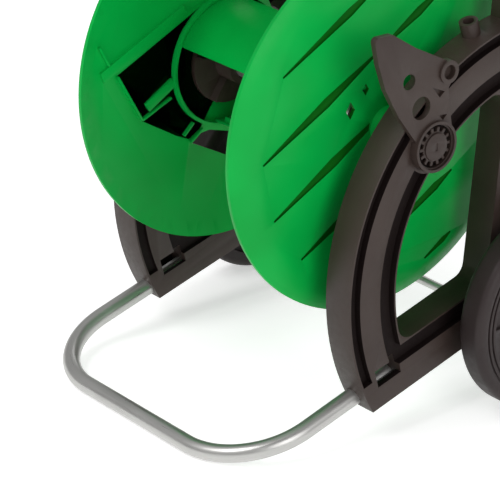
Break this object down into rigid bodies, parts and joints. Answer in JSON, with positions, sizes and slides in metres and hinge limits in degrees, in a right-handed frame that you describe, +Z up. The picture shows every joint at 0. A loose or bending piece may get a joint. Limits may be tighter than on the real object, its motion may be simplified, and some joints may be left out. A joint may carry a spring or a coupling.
{
  "type": "garden hose reel cart",
  "caption": "Wheeled cart with a flanged hose drum between two moulded side frames, a bent tube foot, a side crank and a sliding push handle.",
  "frame": {"origin": "on the floor under the middle of the cart's box, drum axis 39.00 mm to +X and 7.75 mm to -Y of it", "axes": "+X across the cart with the crank on -X, +Y to the rear with the wheels, +Z up"},
  "size_m": [0.608, 0.4844, 0.876],
  "materials": {
    "green_plastic": "bright green moulded polypropylene, satin gloss",
    "brown_plastic": "very dark brown moulded plastic, fine grain",
    "wheel_plastic": "dark blow-moulded plastic",
    "black_plastic": "black moulded plastic",
    "steel_tube": "brushed light grey metal tube",
    "zinc_steel": "zinc plated steel",
    "black_steel": "black painted steel rod",
    "bush_plastic": "white acetal",
    "nipple_plastic": "grey moulded plastic",
    "seal_rubber": "black rubber",
    "grip_foam": "black soft grip"
  },
  "bodies": {
    "frame": {"side_frame_right": "brown_plastic", "side_frame_left": "brown_plastic", "bearing_plate_right": "brown_plastic", "bearing_plate_left": "brown_plastic", "bearing_bush_right": "bush_plastic", "bearing_bush_left": "bush_plastic", "plate_screws_right": "zinc_steel", "plate_screws_left": "zinc_steel", "foot_tube": "steel_tube", "cross_rod": "steel_tube", "stub_axle_right": "zinc_steel", "stub_axle_left": "zinc_steel", "axle_washer_right": "zinc_steel", "axle_washer_left": "zinc_steel", "wheel_cap_right": "black_plastic", "wheel_cap_left": "black_plastic", "tube_collar_right": "brown_plastic", "tube_collar_left": "brown_plastic", "inlet_union": "black_plastic", "inlet_nipple": "nipple_plastic", "union_seals": "seal_rubber"},
    "drum": {"flange_right": "green_plastic", "flange_left": "green_plastic", "hub_cap": "brown_plastic", "barrel_slat_front": "green_plastic", "barrel_slat_back": "green_plastic", "tie_rods": "black_steel", "core_tube": "steel_tube", "core_collar_right": "brown_plastic", "core_collar_left": "brown_plastic", "outlet_elbow": "black_plastic", "outlet_nipple": "nipple_plastic", "crank_arm": "black_plastic", "crank_screw": "zinc_steel", "crank_pin": "zinc_steel"},
    "crank_grip": {"crank_grip": "black_plastic"},
    "wheel_right": {"wheel_right": "wheel_plastic"},
    "wheel_left": {"wheel_left": "wheel_plastic"},
    "handle": {"handle_tube": "steel_tube", "handle_grip": "grip_foam", "handle_plug_right": "black_plastic", "handle_plug_left": "black_plastic"},
    "clamp_right": {"clamp_knob_right": "black_plastic", "clamp_screw_right": "zinc_steel"},
    "clamp_left": {"clamp_knob_left": "black_plastic", "clamp_screw_left": "zinc_steel"}
  },
  "joints": [
    {"name": "drum_spin", "type": "hinge", "parent": "frame", "child": "drum", "pos_m": [0.039, -0.00775, 0.316], "axis": [1, 0, 0], "continuous": true},
    {"name": "crank_grip_spin", "type": "hinge", "parent": "drum", "child": "crank_grip", "pos_m": [-0.255, -0.00775, 0.201], "axis": [1, 0, 0], "continuous": true},
    {"name": "wheel_right_spin", "type": "hinge", "parent": "frame", "child": "wheel_right", "pos_m": [0.255, 0.13025, 0.112], "axis": [1, 0, 0], "continuous": true},
    {"name": "wheel_left_spin", "type": "hinge", "parent": "frame", "child": "wheel_left", "pos_m": [-0.177, 0.13025, 0.112], "axis": [1, 0, 0], "continuous": true},
    {"name": "handle_slide", "type": "slide", "parent": "frame", "child": "handle", "axis": [0, 0.0993, 0.9951], "range_m": [-0.2, 0]},
    {"name": "clamp_right_turn", "type": "hinge", "parent": "frame", "child": "clamp_right", "pos_m": [0.2355, 0.13542, 0.468], "axis": [1, 0, 0], "range_deg": [0, 180]},
    {"name": "clamp_left_turn", "type": "hinge", "parent": "frame", "child": "clamp_left", "pos_m": [-0.1575, 0.13542, 0.468], "axis": [1, 0, 0], "range_deg": [-180, 0]}
  ]
}
